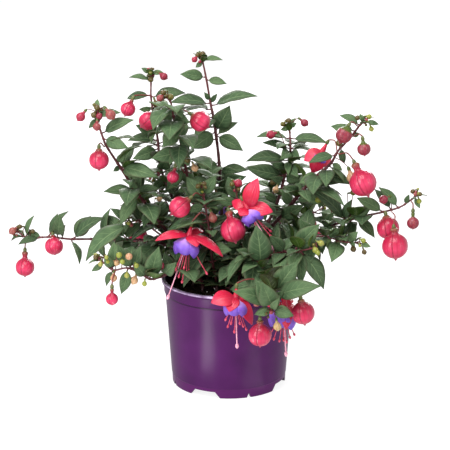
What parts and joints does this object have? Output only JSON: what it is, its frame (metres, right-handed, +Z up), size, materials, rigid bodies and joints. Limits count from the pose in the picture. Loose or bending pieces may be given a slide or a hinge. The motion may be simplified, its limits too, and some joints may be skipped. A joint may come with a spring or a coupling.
{
  "type": "potted fuchsia",
  "caption": "Bushy flowering fuchsia in a round plastic nursery pot, with arching leafy stems, hanging buds and open blooms; stands on its own.",
  "frame": {"origin": "centre of the bounding box, on the surface that the pot stands on", "axes": "+Z up, -Y towards the viewer of the picture, +X to the viewer's right"},
  "size_m": [0.3944, 0.275, 0.3183],
  "materials": {
    "pot": "satin moulded purple plastic",
    "soil": "dark damp potting compost",
    "leafy_stem": "mid-green leaves with purple-brown edges on red-brown stems",
    "bud": "smooth ripe pink buds",
    "bloom": "waxy red tube, sepals and stamens",
    "corolla": "soft violet petals"
  },
  "bodies": {
    "root": {"bloom_back": "bloom", "bloom_centre": "bloom", "bloom_left": "bloom", "bloom_right_high": "bloom", "bloom_rim": "bloom", "bloom_rim_right": "bloom", "bud_back_centre": "bud", "bud_back_left": "bud", "bud_back_right": "bud", "bud_centre": "bud", "bud_centre_high": "bud", "bud_far_left": "bud", "bud_far_right_lower": "bud", "bud_far_right_tip": "bud", "bud_far_right_upper": "bud", "bud_front_centre": "bud", "bud_inner_top": "bud", "bud_left_hanging": "bud", "bud_left_high": "bud", "bud_left_middle": "bud", "bud_left_top": "bud", "bud_low_left": "bud", "bud_right_dusky": "bud", "bud_right_large": "bud", "bud_right_pale": "bud", "bud_rim": "bud", "bud_rim_right": "bud", "corolla_back": "corolla", "corolla_centre": "corolla", "corolla_left": "corolla", "corolla_right_high": "corolla", "corolla_rim": "corolla", "corolla_rim_right": "corolla", "pot": "pot", "soil": "soil", "stem_back_centre": "leafy_stem", "stem_back_centre_high": "leafy_stem", "stem_back_left": "leafy_stem", "stem_back_left_high": "leafy_stem", "stem_back_low": "leafy_stem", "stem_back_right": "leafy_stem", "stem_back_right_high": "leafy_stem", "stem_back_right_low": "leafy_stem", "stem_centre_left": "leafy_stem", "stem_centre_tall": "leafy_stem", "stem_front_left": "leafy_stem", "stem_front_right": "leafy_stem", "stem_left_far": "leafy_stem", "stem_left_inner": "leafy_stem", "stem_left_low": "leafy_stem", "stem_left_shoulder": "leafy_stem", "stem_left_tall": "leafy_stem", "stem_over_rim": "leafy_stem", "stem_right_arching": "leafy_stem", "stem_right_far": "leafy_stem", "stem_right_front": "leafy_stem", "stem_right_low": "leafy_stem", "stem_right_tall": "leafy_stem"}
  },
  "joints": []
}
